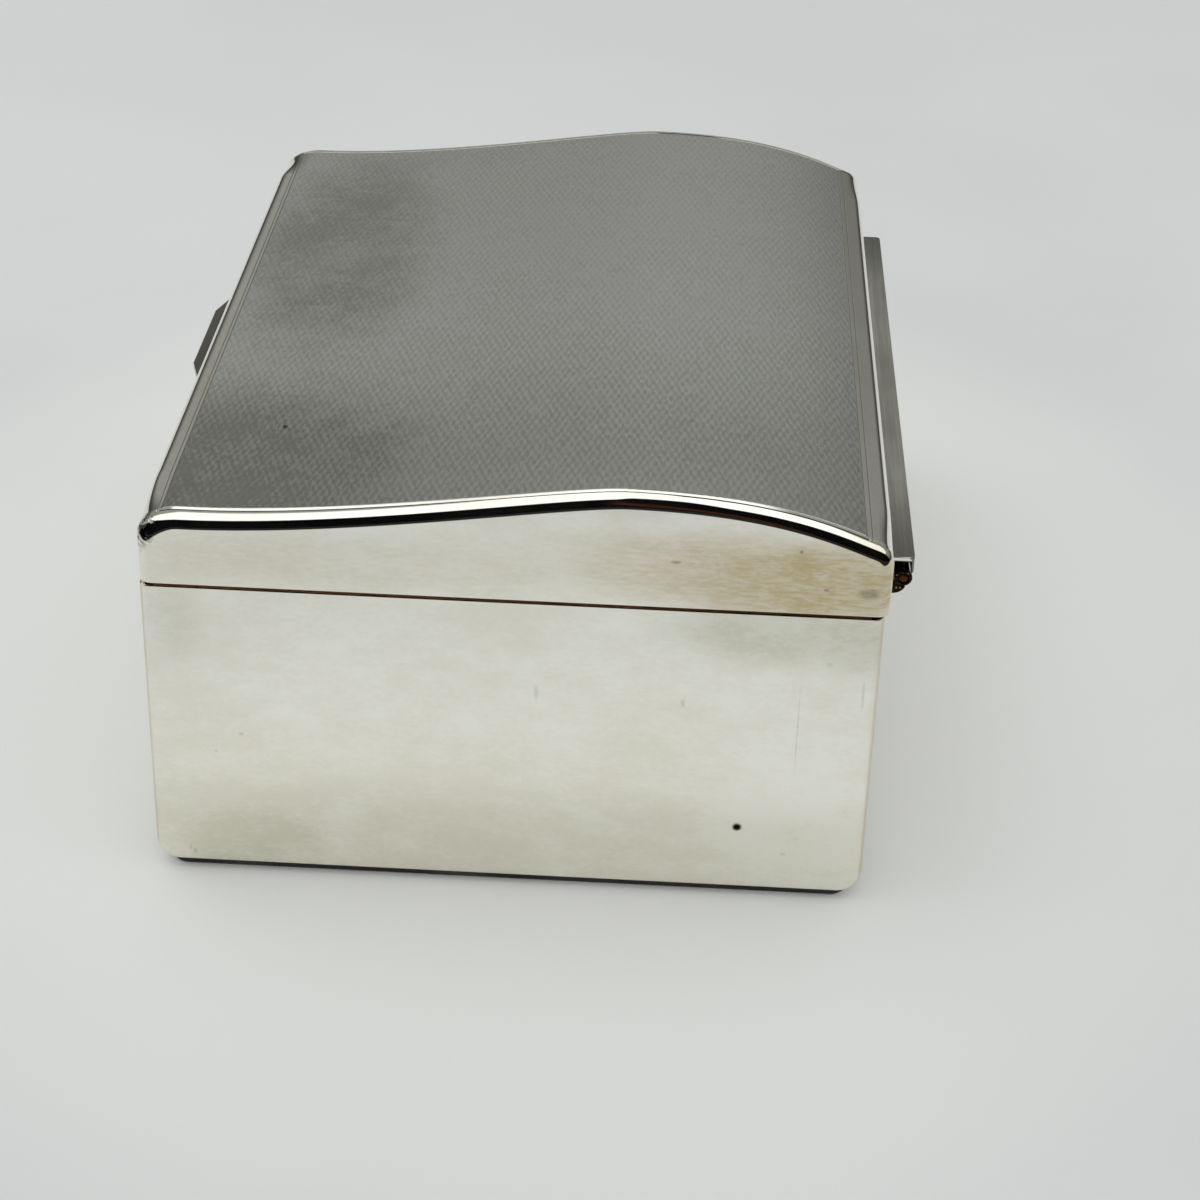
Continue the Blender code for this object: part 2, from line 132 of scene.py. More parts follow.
def split_axes(tree, place):
    """A place's X, Y and Z."""
    return add_node(tree, "ShaderNodeSeparateXYZ", {"Vector": place}).outputs


def seen_by_silver(tree, rays):
    """1 for a ray that silver mirrors straight to the eye, and 0 for one that lights a surface."""
    lit = calculate(tree, "ADD", rays["Diffuse Depth"], 0.5)
    return calculate(tree, "GREATER_THAN", rays["Is Glossy Ray"], lit)


def new_material(name):
    """A new material, its node tree, its Principled BSDF and the place that a point has on its piece."""
    made = bpy.data.materials.new(name)
    made.use_nodes = True
    tree = made.node_tree
    place = add_node(tree, "ShaderNodeTexCoord").outputs["Object"]
    return made, tree, tree.nodes["Principled BSDF"], place


bpy.ops.object.select_all(action="DESELECT")
bpy.ops.mesh.primitive_plane_add(size=table_size, location=(0, 0, -table_depth))
table = bpy.context.object
table.name = "table_top"
laminate, tree, shader, place = new_material("white_laminate")
split = split_axes(tree, place)
along = split["X"]
mottled = fade(tree, noise(tree, place, mottle_size, 3), *mottle)
# Painted light: the table is painted lighter in an oval round the box, for the light that the silver throws
# on it.
beside = calculate(tree, "POWER", calculate(tree, "DIVIDE", split["Y"], lit_reach[1]), 2)
before = calculate(tree, "POWER", calculate(tree, "DIVIDE", along, lit_reach[0]), 2)
lit_by_silver = fade(tree, calculate(tree, "ADD", before, beside), *lit_ring, 1, 0)
mirrored = seen_by_silver(tree, add_node(tree, "ShaderNodeLightPath").outputs)
shaded = calculate(tree, "MULTIPLY", mirrored, fade(tree, along, table_edge_near, table_edge_far))
white = blend_colours(tree, mottled, table_white, table_faint_grey)
white = blend_colours(tree, lit_by_silver, white, table_lit)
# Painted shade: the table turns greyer far behind the box.
far_shade = fade(tree, calculate(tree, "MULTIPLY", along, -1), far_start, far_end)
white = blend_colours(tree, far_shade, white, table_far_shade)
tree.links.new(blend_colours(tree, shaded, white, table_shade), shader.inputs["Base Color"])
shader.inputs["Roughness"].default_value = laminate_roughness
shader.inputs["Specular IOR Level"].default_value = laminate_shine
table.data.materials.append(laminate)


# Studio light
# An even white light from all round, with a softbox high on the front side for a soft
# shadow. Silver sees a grey room with a wide window overhead, and the dark side with the
# camera, which draws the black band on its rounded edges.
room_light = 0.96
background = (0.60, 0.62, 0.615, 1)
room_grey = (0.28, 0.285, 0.275, 1)
room_foot_grey = (0.05, 0.05, 0.045, 1)
window_white = (1.14, 1.15, 1.13, 1)
camera_side_black = (0.002, 0.002, 0.0025, 1)
camera_side_brown = (0.045, 0.014, 0.006, 1)
window_edge = 0.62
edge_softness = 0.025
wall_foot, wall_top = 0.05, 0.4
camera_side_lean = 0.1
camera_lean = -0.1
camera_turned = 0.04
lean_reach = (0.03, 0.18)
brown_slant, brown_level = 2, 0.5
brown_width = (0.08, 0.3)
brown_reach = (0.1, 0.2)
softbox_place = (-0.15, -0.5, 0.9)
softbox_size = 0.8
softbox_power = 1.6

world = bpy.data.worlds.new("studio")
world.use_nodes = True
bpy.context.scene.world = world
tree = world.node_tree
tree.nodes.clear()
direction = add_node(tree, "ShaderNodeTexCoord").outputs["Generated"]
towards = split_axes(tree, direction)
window = fade(tree, towards["Z"], window_edge - edge_softness, window_edge + edge_softness)
risen = fade(tree, towards["Z"], wall_foot, wall_top)
walls = blend_colours(tree, risen, room_foot_grey, room_grey)
room = blend_colours(tree, window, walls, window_white)
beside_camera = calculate(tree, "ABSOLUTE", calculate(tree, "SUBTRACT", towards["Y"], camera_turned))
lean = fade(tree, beside_camera, *lean_reach, camera_lean, camera_side_lean)
past_edge = calculate(tree, "SUBTRACT", towards["X"], calculate(tree, "MULTIPLY", towards["Z"], lean))
camera_side = fade(tree, past_edge, -edge_softness, edge_softness)
slant = calculate(tree, "MULTIPLY_ADD", towards["Y"], brown_slant, towards["Z"])
off_slant = calculate(tree, "ABSOLUTE", calculate(tree, "SUBTRACT", slant, brown_level))
on_slant = fade(tree, off_slant, *brown_width, 1, 0)
by_camera = fade(tree, beside_camera, *brown_reach, 1, 0)
brown = calculate(tree, "MULTIPLY", on_slant, by_camera)
black = blend_colours(tree, brown, camera_side_black, camera_side_brown)
room = blend_colours(tree, camera_side, room, black)
rays = add_node(tree, "ShaderNodeLightPath").outputs
even = (room_light, room_light, room_light, 1)
seen = blend_colours(tree, seen_by_silver(tree, rays), even, room)
seen = blend_colours(tree, rays["Is Camera Ray"], seen, background)
glow = add_node(tree, "ShaderNodeBackground", {"Color": seen})
add_node(tree, "ShaderNodeOutputWorld", {"Surface": glow.outputs["Background"]})

bpy.ops.object.light_add(type="AREA", location=softbox_place)
softbox = bpy.context.object
softbox.data.size = softbox_size
softbox.data.energy = softbox_power
softbox.rotation_euler = (-Vector(softbox_place)).to_track_quat("-Z", "Y").to_euler()
softbox.visible_glossy = False


# Base cover
# A thin sheet of black leathercloth, glued under the box so that it doesn't scratch a
# table. Its edges are pressed round, and it shows as a dark line under the silver.
cover_corner = 0.002
cover_edge = 0.0002
cover_black = (0.012, 0.011, 0.011, 1)
cover_worn = (0.05, 0.046, 0.042, 1)
cover_grain_size = 2600
cover_grain_rise = (0.4, 0.0001)
cover_rubbed_size = 60
cover_rubbed = (0.5, 0.75)
cover_roughness = (0.55, 0.75)
sharp_angle = 1


def add_block(name, low, high):
    """A block between two corners, with its place in its mesh."""
    bpy.ops.object.select_all(action="DESELECT")
    low, high = Vector(low), Vector(high)
    bpy.ops.mesh.primitive_cube_add(size=1, location=(low + high) / 2, scale=high - low)
    bpy.ops.object.transform_apply(location=True, rotation=True, scale=True)
    block = bpy.context.object
    block.name = name
    return block


def take_hold(piece):
    """Selects only this piece, so that operators act on it."""
    bpy.ops.object.select_all(action="DESELECT")
    piece.select_set(True)
    bpy.context.view_layer.objects.active = piece


def pick(piece, kind, test):
    """In edit mode, selects only the piece's edges or faces that pass the test."""
    if piece.mode != "EDIT":
        take_hold(piece)
        bpy.ops.object.mode_set(mode="EDIT")
    bpy.ops.mesh.select_mode(type=kind)
    bpy.ops.mesh.select_all(action="DESELECT")
    shape = bmesh.from_edit_mesh(piece.data)
    shape.normal_update()
    for part in shape.edges if kind == "EDGE" else shape.faces:
        if test(part):
            part.select_set(True)
    bmesh.update_edit_mesh(piece.data)


def runs_along(edge, axis):
    """Whether an edge is parallel to an axis, 0 to 2."""
    run = edge.verts[1].co - edge.verts[0].co
    return abs(run[axis]) > 0.999 * run.length


def is_sharp(edge):
    """Whether the two faces at an edge meet at a sharp angle."""
    return edge.calc_face_angle(0) > sharp_angle


def round_picked(width, steps):
    """Rounds the selected edges to a radius."""
    bpy.ops.mesh.bevel(offset=width, segments=steps, profile=0.5, affect="EDGES", clamp_overlap=False)


def apply_modifier(piece, kind, **settings):
    """Adds a modifier with its settings and applies it."""
    take_hold(piece)
    modifier = piece.modifiers.new(kind.title(), kind)
    for name, value in settings.items():
        setattr(modifier, name, value)
    bpy.ops.object.modifier_apply(modifier=modifier.name)


def finish_piece(piece, material, body, slot, *nodes, smooth=35):
    """Shades a piece, gives it its material and body, and hides the CAD nodes that it stands for."""
    if piece.mode == "EDIT":
        bpy.ops.object.mode_set(mode="OBJECT")
    take_hold(piece)
    bpy.ops.object.shade_smooth_by_angle(angle=math.radians(smooth))
    apply_modifier(piece, "WEIGHTED_NORMAL", keep_sharp=True)
    piece.data.materials.clear()
    piece.data.materials.append(material)
    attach(piece, body)
    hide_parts(*nodes)


def paint(tree, shader, colour, roughness, metal=0):
    """Links a material's colour and roughness, and says whether it is metal."""
    tree.links.new(colour, shader.inputs["Base Color"])
    tree.links.new(roughness, shader.inputs["Roughness"])
    shader.inputs["Metallic"].default_value = metal


def raise_surface(tree, shader, height, strength, depth):
    """Lets a material's surface rise and fall with a height."""
    inputs = {"Height": height, "Strength": strength, "Distance": depth}
    bump = add_node(tree, "ShaderNodeBump", inputs)
    tree.links.new(bump.outputs["Normal"], shader.inputs["Normal"])


leathercloth, tree, shader, place = new_material("black_leathercloth")
pebbled = add_node(tree, "ShaderNodeTexVoronoi", {"Vector": place, "Scale": cover_grain_size})
grain = pebbled.outputs["Distance"]
wear_and_highlight = fade(tree, noise(tree, place, cover_rubbed_size, 4), *cover_rubbed)
rubbed_black = blend_colours(tree, wear_and_highlight, cover_black, cover_worn)
paint(tree, shader, rubbed_black, fade(tree, grain, 0, 1, *cover_roughness))
raise_surface(tree, shader, grain, *cover_grain_rise)

cover = add_block("base_leathercloth", *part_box("base_cover"))
pick(cover, "EDGE", lambda edge: runs_along(edge, 2))
round_picked(cover_corner, 8)
pick(cover, "EDGE", is_sharp)
round_picked(cover_edge, 3)
finish_piece(cover, leathercloth, "box", "base_cover", "base_cover")


# Base board and its pins
# A stained hardwood board, rebated to drop into the flange, and four brass pins that hold
# it to the cedar floor. The cover hides them.
board_dark = (0.075, 0.036, 0.018, 1)
board_light = (0.17, 0.085, 0.042, 1)
board_grain_scale = (25, 420, 420)
board_roughness = 0.6


def finish_node(name, material):
    """Gives a CAD piece that shows as it is its material."""
    frame["nodes"][name].data.materials.clear()
    frame["nodes"][name].data.materials.append(material)


stained, tree, shader, place = new_material("stained_board")
stretched = add_node(tree, "ShaderNodeMapping", {"Vector": place, "Scale": board_grain_scale})
figure = noise(tree, stretched.outputs["Vector"], 1, 5, 0.6)
tree.links.new(blend_colours(tree, figure, board_dark, board_light), shader.inputs["Base Color"])
shader.inputs["Roughness"].default_value = board_roughness
finish_node("base_board", stained)

brass_bright = (0.66, 0.45, 0.2, 1)
brass_brown = (0.12, 0.04, 0.018, 1)
tarnish_size = 1500
tarnish = (0.1, 0.35)
brass_roughness = (0.25, 0.5)

brass, tree, shader, place = new_material("tarnished_brass")
dulled = fade(tree, noise(tree, place, tarnish_size, 3), *tarnish)
browned = blend_colours(tree, dulled, brass_bright, brass_brown)
paint(tree, shader, browned, fade(tree, dulled, 0, 1, *brass_roughness), metal=1)
for corner in ("front_left", "front_right", "back_left", "back_right"):
    finish_node("base_pin_" + corner, brass)


# Cedar lining
# Planed boards of Spanish cedar, mitred at the corners, on a cedar floor, with a divider
# across the middle. The grain runs along each board.
cedar_pale = (0.50, 0.27, 0.145, 1)
cedar_red = (0.33, 0.15, 0.075, 1)
cedar_vessel = (0.16, 0.065, 0.032, 1)
grain_along_x = (9, 190, 190)
grain_along_y = (190, 9, 190)
vessel_size = 9
vessel_edge = (0.6, 0.7)
band_edge = (0.3, 0.7)
cedar_roughness = (0.5, 0.7)
cedar_grain_rise = (0.35, 0.0001)


def cedar(name, stretch):
    """Cedar with bands of growth and short dark vessels, stretched along the grain."""
    made, tree, shader, place = new_material(name)
    stretched = add_node(tree, "ShaderNodeMapping", {"Vector": place, "Scale": stretch}).outputs["Vector"]
    bands = noise(tree, stretched, 1, 4, 0.55)
    vessels = noise(tree, stretched, vessel_size)
    pores = fade(tree, vessels, *vessel_edge)
    wood = blend_colours(tree, fade(tree, bands, *band_edge), cedar_red, cedar_pale)
    wood = blend_colours(tree, pores, wood, cedar_vessel)
    paint(tree, shader, wood, fade(tree, vessels, *band_edge, *cedar_roughness))
    raise_surface(tree, shader, calculate(tree, "SUBTRACT", bands, pores), *cedar_grain_rise)
    return made


cedar_lengthways = cedar("cedar_lengthways", grain_along_x)
cedar_crossways = cedar("cedar_crossways", grain_along_y)
lining_woods = {
    "lining_floor": cedar_lengthways,
    "lining_front": cedar_lengthways,
    "lining_back": cedar_lengthways,
    "lining_left": cedar_crossways,
    "lining_right": cedar_crossways,
    "lining_divider": cedar_crossways,
}
for node_name, wood in lining_woods.items():
    finish_node(node_name, wood)


# Body case
# One sheet of sterling silver bent up into the sides, with two ends soldered in and filed
# round. It is turned in below as a flange, and its rim is eased. The polish is old: a warm
# bloom lies on it, and one spot on the end has pitted. The end is also painted darker
# towards its bottom, a painted reflection of the shaded table in front of it.
bend_radius = 0.0028
end_radius = 0.001
bottom_edge_share = 0.3
sheet_thickness = 0.0008
flange_width = 0.009
rim_radius = 0.00012
hair = 0.00001
silver_clean = (0.985, 0.97, 0.90, 1)
silver_bloom = (0.905, 0.875, 0.775, 1)
silver_tan = (0.60, 0.49, 0.29, 1)
silver_stained_and_shaded = (0.60, 0.585, 0.46, 1)
silver_pit = (0.03, 0.02, 0.015, 1)
rubbed_along = (0.45, 0.45, 1)
patch_rim = (0.3, 1)
broad_size, cloud_size, speck_size, wave_size = 50, 330, 2400, 38
speck_share = 0.35
bloom_edge = (0.34, 0.66)
polish_roughness = (0.03, 0.08)
grain_height = 0.01
polish_rise = (0.25, 0.0002)
corner_seam_across = (0.0406, 0.0411)
corner_seam_along = (0.0556, 0.0564)
corner_share = 0.6
reflected_shade_height = (0.008, 0.0155)
reflected_shade_share = 0.62
stain_and_shade_share = 0.6
scratch_share = 0.22
stains_on_end = (
    ((0.0572, 0.030, 0.0365), (0.004, 0.018, 0.0070)),
    ((0.0572, 0.038, 0.0350), (0.004, 0.008, 0.0060)),
    ((0.0598, -0.0375, 0.0330), (0.004, 0.006, 0.009)),
    ((0.0572, -0.030, 0.004), (0.004, 0.018, 0.009)),
)
pit_on_end = ((0.05715, 0.0264, 0.0095), (0.004, 0.00075, 0.0007))
marks_on_end = (
    ((0.05715, 0.0325, 0.0230), (0.004, 0.00012, 0.0075)),
    ((0.05715, 0.0195, 0.0260), (0.004, 0.0003, 0.0007)),
    ((0.05715, 0.0030, 0.0265), (0.004, 0.0004, 0.0013)),
    ((0.05715, 0.0319, 0.0060), (0.004, 0.0005, 0.0003)),
    ((0.05715, -0.0305, 0.0190), (0.004, 0.0004, 0.0003)),
    ((0.05715, 0.0355, 0.0320), (0.004, 0.0005, 0.0003)),
    ((0.05715, -0.0335, 0.0165), (0.004, 0.0003, 0.0002)),
    ((0.05715, -0.0366, 0.0024), (0.004, 0.0003, 0.0006)),
    ((0.05715, -0.0371, 0.0029), (0.004, 0.0002, 0.0006)),
    ((0.05715, 0.0395, 0.0280), (0.004, 0.0002, 0.0025)),
)


def new_group(name, inputs, outputs):
    """A node group that is given vectors and gives back numbers, and what it is given."""
    made = bpy.data.node_groups.new(name, "ShaderNodeTree")
    for socket in inputs:
        made.interface.new_socket(socket, in_out="INPUT", socket_type="NodeSocketVector")
    for socket in outputs:
        made.interface.new_socket(socket, in_out="OUTPUT", socket_type="NodeSocketFloat")
    return made, add_node(made, "NodeGroupInput").outputs


def add_group(tree, group, inputs):
    """Places a node group with its inputs and returns its outputs."""
    return add_node(tree, "ShaderNodeGroup", inputs, node_tree=group).outputs


def change_place(tree, operation, place, by):
    """A place shifted or stretched by a vector."""
    inputs = enumerate((place, by))
    return add_node(tree, "ShaderNodeVectorMath", inputs, operation=operation).outputs["Vector"]


patch, given = new_group("patch", ("Position", "Centre", "Size"), ("Mask",))
away = change_place(patch, "SUBTRACT", given["Position"], given["Centre"])
scaled = change_place(patch, "DIVIDE", away, given["Size"])
length = add_node(patch, "ShaderNodeVectorMath", {0: scaled}, operation="LENGTH").outputs["Value"]
add_node(patch, "NodeGroupOutput", {"Mask": fade(patch, length, *patch_rim, 1, 0)})

worn_silver, given = new_group(
    "worn_silver", ("Position", "Polish Direction"), ("Bloom", "Roughness", "Height")
)
combed = change_place(worn_silver, "MULTIPLY", given["Position"], given["Polish Direction"])
broad = noise(worn_silver, given["Position"], broad_size, 3, 0.55)
clouds = noise(worn_silver, combed, cloud_size, 4, 0.65)
grain = noise(worn_silver, combed, speck_size, 3, 0.7)
waves = noise(worn_silver, given["Position"], wave_size, 1)
mixed = calculate(worn_silver, "MULTIPLY_ADD", clouds, 0.5, calculate(worn_silver, "MULTIPLY", broad, 0.5))
specks = calculate(worn_silver, "MULTIPLY", calculate(worn_silver, "SUBTRACT", grain, 0.5), speck_share)
output = {
    "Bloom": fade(worn_silver, calculate(worn_silver, "ADD", mixed, specks), *bloom_edge),
    "Roughness": fade(worn_silver, mixed, 0.35, 0.65, *polish_roughness),
    "Height": calculate(worn_silver, "MULTIPLY_ADD", grain, grain_height, waves),
}
add_node(worn_silver, "NodeGroupOutput", output)


def stained_by(tree, place, stains, texture, least=0.65):
    """The strongest of several stains, broken up by a texture between 0 and 1."""
    worst = 0
    for centre, size in stains:
        mask = add_group(tree, patch, {"Position": place, "Centre": centre, "Size": size})["Mask"]
        worst = calculate(tree, "MAXIMUM", mask, worst)
    return calculate(tree, "MULTIPLY", worst, fade(tree, texture, 0, 1, least, 1))


body_silver, tree, shader, place = new_material("body_silver")
wear = add_group(tree, worn_silver, {"Position": place, "Polish Direction": rubbed_along})
polished = blend_colours(tree, wear["Bloom"], silver_clean, silver_bloom)
stain_and_shade = stained_by(tree, place, stains_on_end, wear["Bloom"])
split = split_axes(tree, place)
# Painted reflection: the end's lower part is painted darker, for the shaded table that it mirrors.
reflected_shade = fade(tree, split["Z"], *reflected_shade_height, reflected_shade_share, 0)
reflected_shade = calculate(tree, "MULTIPLY", reflected_shade, fade(tree, wear["Bloom"], 0, 1, 0.75, 1))
stain_and_shade = calculate(tree, "MAXIMUM", stain_and_shade, reflected_shade)
across_end = fade(tree, calculate(tree, "ABSOLUTE", split["Y"]), *corner_seam_across)
near_end = fade(tree, calculate(tree, "ABSOLUTE", split["X"]), *corner_seam_along)
corner = calculate(tree, "MULTIPLY", calculate(tree, "MULTIPLY", across_end, near_end), corner_share)
stained_and_shaded = blend_colours(tree, calculate(tree, "MULTIPLY", stain_and_shade, stain_and_shade_share), polished, silver_stained_and_shaded)
stained_shaded_silver = blend_colours(tree, corner, stained_and_shaded, silver_tan)
pit = stained_by(tree, place, (pit_on_end,), 1)
scratched = stained_by(tree, place, marks_on_end, wear["Bloom"])
marked = calculate(tree, "MAXIMUM", pit, calculate(tree, "MULTIPLY", scratched, scratch_share))
marked_silver = blend_colours(tree, marked, stained_shaded_silver, silver_pit)
paint(tree, shader, marked_silver, calculate(tree, "MAXIMUM", wear["Roughness"], pit), metal=1)
raise_surface(tree, shader, calculate(tree, "SUBTRACT", wear["Height"], marked), *polish_rise)


def rings_end(edge, end):
    """Whether an edge goes round one of the two end faces."""
    return not edge.is_boundary and not runs_along(edge, 0) and all(abs(v.co.x) > end for v in edge.verts)


low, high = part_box("body_shell")
case = add_block("body_case", low, high)
pick(case, "EDGE", lambda edge: runs_along(edge, 0) and all(v.co.z < low.z + hair for v in edge.verts))
round_picked(bend_radius, 14)
pick(case, "FACE", lambda face: face.normal.z > 0.9)
bpy.ops.mesh.delete(type="FACE")
end = high.x - hair
pick(case, "EDGE", lambda edge: rings_end(edge, end))
round_picked(end_radius, 8)
for axis, reach in ((0, high.x - flange_width), (1, high.y - flange_width)):
    for side in (-1, 1):
        pick(case, "FACE", lambda face: face.normal.z < -0.999)
        cut = Vector((0, 0, 0))
        cut[axis] = side * reach
        bpy.ops.mesh.bisect(plane_co=cut, plane_no=cut.normalized())
pick(case, "FACE", lambda face: face.normal.z < -0.999 and face.calc_center_median().xy.length < 0.001)
bpy.ops.mesh.delete(type="FACE")
bpy.ops.object.mode_set(mode="OBJECT")
apply_modifier(case, "SOLIDIFY", thickness=sheet_thickness, offset=-1, use_even_offset=True)
rim = high.z - hair
pick(case, "EDGE", lambda edge: all(v.co.z > rim for v in edge.verts) and is_sharp(edge))
round_picked(rim_radius, 2)
bpy.ops.object.mode_set(mode="OBJECT")
bend_y, bend_z = high.y - bend_radius, low.z + bend_radius
for vert in case.data.vertices:
    side = math.copysign(1, vert.co.y)
    from_bend = Vector((max(0, abs(vert.co.y) - bend_y), max(0, bend_z - vert.co.z)))
    depth = bend_radius - from_bend.length
    inset = high.x - abs(vert.co.x)
    if vert.co.z < bend_z and 0 < max(depth, inset) < end_radius and min(depth, inset) < end_radius / 3:
        upright = from_bend.x / bend_radius if from_bend.x else 0
        share = bottom_edge_share + (1 - bottom_edge_share) * upright ** 2
        vert.co.x = math.copysign(high.x - inset * share, vert.co.x)
        grown = from_bend.normalized() * (bend_radius - depth * share)
        if from_bend.x:
            vert.co.y = side * (bend_y + grown.x)
        vert.co.z = bend_z - grown.y
finish_piece(case, body_silver, "box", "silver", "body_shell")


# Hinge bearer
# A silver bar soldered along the body's back, rounded below, with a groove on top in which
# the body's three knuckles lie.
bearer_radius = 0.0016
groove_radius = 0.00115
past_end = 0.001
hinge_axis = Vector(frame["joints"][0]["pos_m"])
hinge_bright = (0.76, 0.75, 0.68, 1)
hinge_dull = (0.46, 0.45, 0.39, 1)
# Painted shade for the hinge's dark ends, with painted gold glints at the knuckles' ends.
hinge_shade = (0.022, 0.014, 0.009, 1)
hinge_gold_glint = (0.42, 0.33, 0.14, 1)
knuckle_end_shade = (0.0012, 1)
plate_end_darkening = (0.022, 0.65)
plate_joint_shade = (0.00005, 0.0004)
plate_end_highlight = (0.00009, 0.00004)
plate_highlight_depth = (0.00055, 0.00035)
end_dark_full = 0.0001
joint_shade_share = 0.75
joint_shade_patches = (220, 3)
joint_shade_patchy = (0.3, 0.6, 0.35, 1)
glint_size = 2600
glint_edge = (0.62, 0.68)
drawn_roughness = 0.1
shade_roughness = 0.25
drawn_rise = (0.3, 0.0002)
hinge_drawn_along = (0.02, 1, 1)


def aged_hinge(name, dark_reach, dark_share, plate=None):
    """Drawn silver, dulled and darker towards its ends: on the bearer and knuckles this is
    painted shade with painted gold glints. On the plate the darkening reaches further, with
    painted shade along its joint and on its end face, and a painted highlight along the top
    of the end face.
    """
    made, tree, shader, place = new_material(name)
    wear = add_group(tree, worn_silver, {"Position": place, "Polish Direction": hinge_drawn_along})
    drawn = blend_colours(tree, wear["Bloom"], hinge_bright, hinge_dull)
    split = split_axes(tree, place)
    along = calculate(tree, "ABSOLUTE", split["X"])
    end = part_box("body_hinge_bearer")[1].x
    # Darker near the box's ends: painted shade at the bearer and knuckles.
    shade_mask = fade(tree, along, end - dark_reach, end - end_dark_full, 0, dark_share)
    if plate:
        joint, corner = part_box("lid_shell")[1].y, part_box(plate)[1]
        # Painted shade along the plate's joint with the lid's back, broken into patches.
        joint_shade = [joint + reach for reach in plate_joint_shade]
        joint_shade = fade(tree, split["Y"], *joint_shade, joint_shade_share, 0)
        patchy_shade = fade(tree, noise(tree, place, *joint_shade_patches), *joint_shade_patchy)
        shade_mask = calculate(tree, "MAXIMUM", shade_mask, calculate(tree, "MULTIPLY", joint_shade, patchy_shade))
        # Painted shade over the plate's end face, with a painted highlight of clean silver along its top.
        on_end = fade(tree, along, *(corner.x - reach for reach in plate_end_highlight))
        wear_and_highlight = fade(tree, split["Z"], *(corner.z - reach for reach in plate_highlight_depth))
        wear_and_highlight = calculate(tree, "MULTIPLY", on_end, wear_and_highlight)
        shade_mask = calculate(tree, "MAXIMUM", shade_mask, on_end)
        shade_mask = calculate(tree, "SUBTRACT", shade_mask, wear_and_highlight)
        drawn = blend_colours(tree, wear_and_highlight, drawn, silver_clean)
        shade_colour = hinge_shade
    else:
        # Painted gold glints in the painted shade at the knuckles' ends.
        glints = fade(tree, noise(tree, place, glint_size), *glint_edge)
        shade_colour = blend_colours(tree, glints, hinge_shade, hinge_gold_glint)
    rough = calculate(tree, "ADD", wear["Roughness"], drawn_roughness)
    rough = calculate(tree, "MULTIPLY_ADD", shade_mask, shade_roughness, rough)
    paint(tree, shader, blend_colours(tree, shade_mask, drawn, shade_colour), rough, metal=1)
    raise_surface(tree, shader, wear["Height"], *drawn_rise)
    return made


hinge_silver = aged_hinge("hinge_silver", *knuckle_end_shade)
plate_silver = aged_hinge("plate_silver", *plate_end_darkening, plate="lid_hinge_plate")


def add_rod(name, radius, start, end, sides=40):
    """A round rod along the hinge's axis, from one place along the box to another."""
    bpy.ops.object.select_all(action="DESELECT")
    middle = ((start + end) / 2, hinge_axis.y, hinge_axis.z)
    bpy.ops.mesh.primitive_cylinder_add(
        vertices=sides, radius=radius, depth=end - start, location=middle, rotation=(0, math.pi / 2, 0)
    )
    bpy.ops.object.transform_apply(location=True, rotation=True, scale=True)
    rod = bpy.context.object
    rod.name = name
    return rod


def combine(piece, other, operation):
    """Cuts or joins a piece with another, which is then removed."""
    apply_modifier(piece, "BOOLEAN", operation=operation, solver="EXACT", object=other)
    bpy.data.objects.remove(other, do_unlink=True)


low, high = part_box("body_hinge_bearer")
bearer = add_block("hinge_bearer", low, high)
lower, outer = low.z + hair, high.y - hair
pick(bearer, "EDGE", lambda e: runs_along(e, 0) and all(v.co.z < lower and v.co.y > outer for v in e.verts))
round_picked(bearer_radius, 10)
bpy.ops.object.mode_set(mode="OBJECT")
combine(bearer, add_rod("groove", groove_radius, low.x - past_end, high.x + past_end), "DIFFERENCE")
finish_piece(bearer, hinge_silver, "box", "silver", "body_hinge_bearer")


# Knuckles and hinge pin
# Five lengths of drawn silver tube on a brass pin: three lie in the bearer, and two hang
# from the lid's plate on straps. Wear has left the pin's end brown.
bore_radius = 0.00062
knuckle_radius = 0.001
pin_radius = 0.00055
knuckle_edge = 0.00012
strap_half = 0.0007
strap_clearance = 0.0002


def add_tube(name, start, end):
    """A knuckle: a tube with the pin's bore through it."""
    tube = add_rod(name, knuckle_radius, start, end)
    combine(tube, add_rod("bore", bore_radius, start - past_end, end + past_end), "DIFFERENCE")
    return tube


for number in (1, 2, 3):
    low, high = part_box("body_knuckle_%d" % number)
    knuckle = add_tube("case_knuckle_%d" % number, low.x, high.x)
    pick(knuckle, "EDGE", is_sharp)
    round_picked(knuckle_edge, 2)
    finish_piece(knuckle, hinge_silver, "box", "silver", "body_knuckle_%d" % number)
for number in (1, 2):
    low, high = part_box("lid_knuckle_%d" % number)
    knuckle = add_tube("cover_knuckle_%d" % number, low.x, high.x)
    foot = (low.x, hinge_axis.y - strap_half, hinge_axis.z + bore_radius + strap_clearance)
    strap = add_block("strap", foot, (high.x, hinge_axis.y + strap_half, high.z))
    combine(knuckle, strap, "UNION")
    finish_piece(knuckle, hinge_silver, "lid", "silver", "lid_knuckle_%d" % number)
low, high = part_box("hinge_pin")
pin = add_rod("brass_hinge_pin", pin_radius, low.x, high.x, 32)
pick(pin, "EDGE", is_sharp)
round_picked(pin_radius / 3, 3)
finish_piece(pin, brass, "box", "brass", "hinge_pin")


